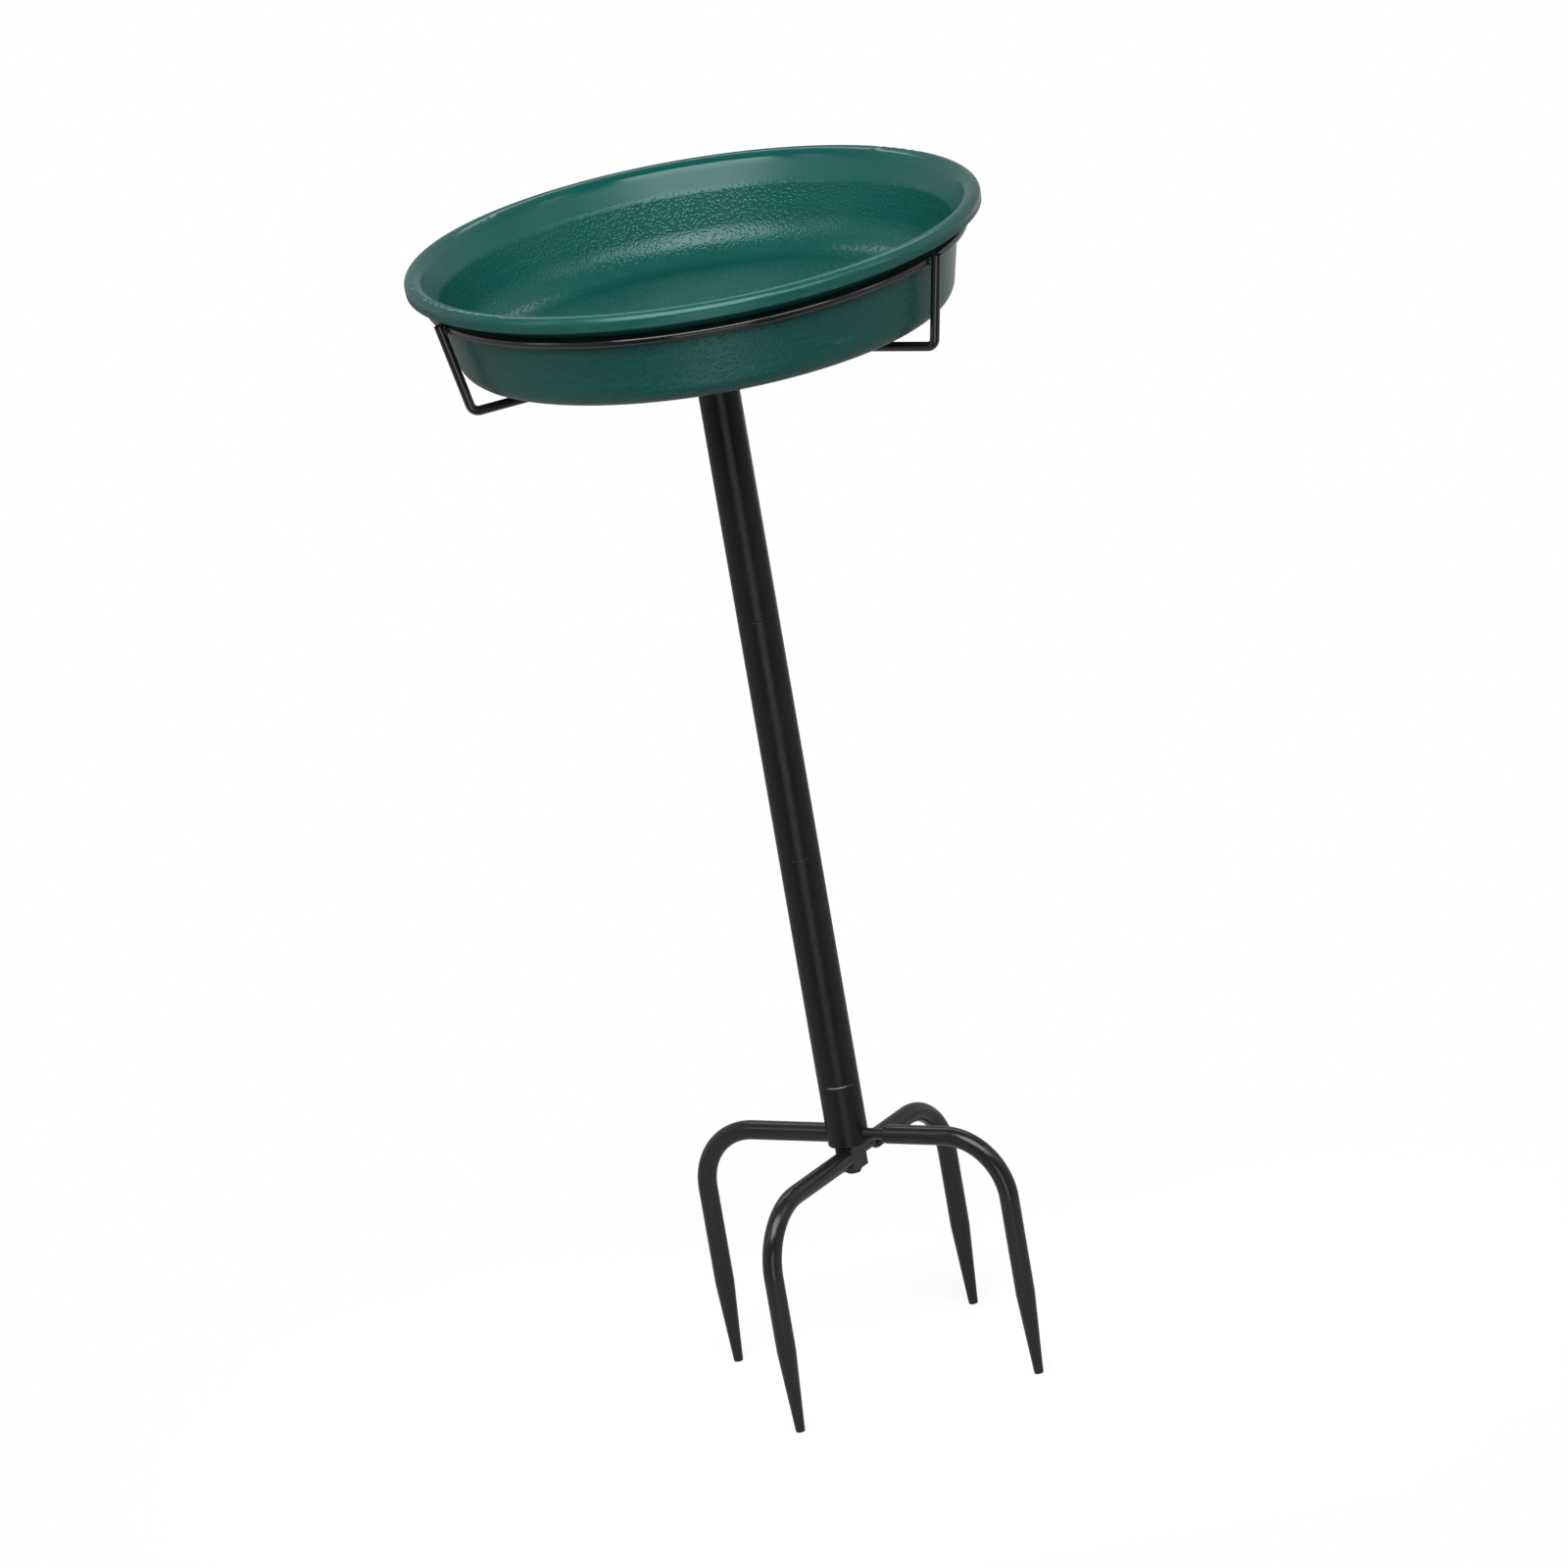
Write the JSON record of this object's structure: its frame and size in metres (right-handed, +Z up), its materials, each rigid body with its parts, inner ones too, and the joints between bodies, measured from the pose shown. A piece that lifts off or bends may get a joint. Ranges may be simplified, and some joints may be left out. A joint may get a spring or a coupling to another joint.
{
  "type": "bird feeder on pole",
  "caption": "Open round feeding dish that lifts out of a wire cradle on a plug-together garden pole, with bent rod prongs that fold and push into soil.",
  "frame": {"origin": "on the pole's axis, in the plane of the prong tips", "axes": "+Z up along the pole, -Y towards the front as pictured, +X to the right of that view"},
  "size_m": [0.3024, 0.3024, 0.6313],
  "materials": {
    "dish_plastic": "satin",
    "black_coat": "satin",
    "black_steel": "satin",
    "plain_steel": "zinc plated"
  },
  "bodies": {
    "base": {"base_tube": "black_coat", "clamp_plug": "plain_steel", "prong_left": "black_coat", "prong_right": "black_coat", "clamp_bolt": "black_steel", "bolt_washer": "black_steel"},
    "lower_prongs": {"prong_front": "black_coat", "prong_back": "black_coat"},
    "lower_tube": {"lower_pole": "black_coat"},
    "middle_tube": {"middle_pole": "black_coat"},
    "upper_tube": {"upper_pole": "black_coat"},
    "cradle": {"cradle_hub": "black_coat", "cradle_ring": "black_coat", "cradle_arm_left": "black_coat", "cradle_arm_right": "black_coat", "cradle_arm_back": "black_coat"},
    "bowl": {"dish": "dish_plastic"}
  },
  "joints": [
    {"name": "prong_fold", "type": "hinge", "parent": "base", "child": "lower_prongs", "pos_m": [0, 0, 0.1198], "axis": [0, 0, 1], "range_deg": [-80, 80]},
    {"name": "lower_pole_pull", "type": "slide", "parent": "base", "child": "lower_tube", "axis": [0, 0, 1], "range_m": [0, 0.02]},
    {"name": "middle_pole_pull", "type": "slide", "parent": "lower_tube", "child": "middle_tube", "axis": [0, 0, 1], "range_m": [0, 0.02]},
    {"name": "upper_pole_pull", "type": "slide", "parent": "middle_tube", "child": "upper_tube", "axis": [0, 0, 1], "range_m": [0, 0.02]},
    {"name": "cradle_turn", "type": "hinge", "parent": "upper_tube", "child": "cradle", "pos_m": [0, 0, 0.548], "axis": [0, 0, 1], "continuous": true},
    {"name": "dish_lift", "type": "slide", "parent": "cradle", "child": "bowl", "axis": [0, 0, 1], "range_m": [0, 0.08]}
  ]
}
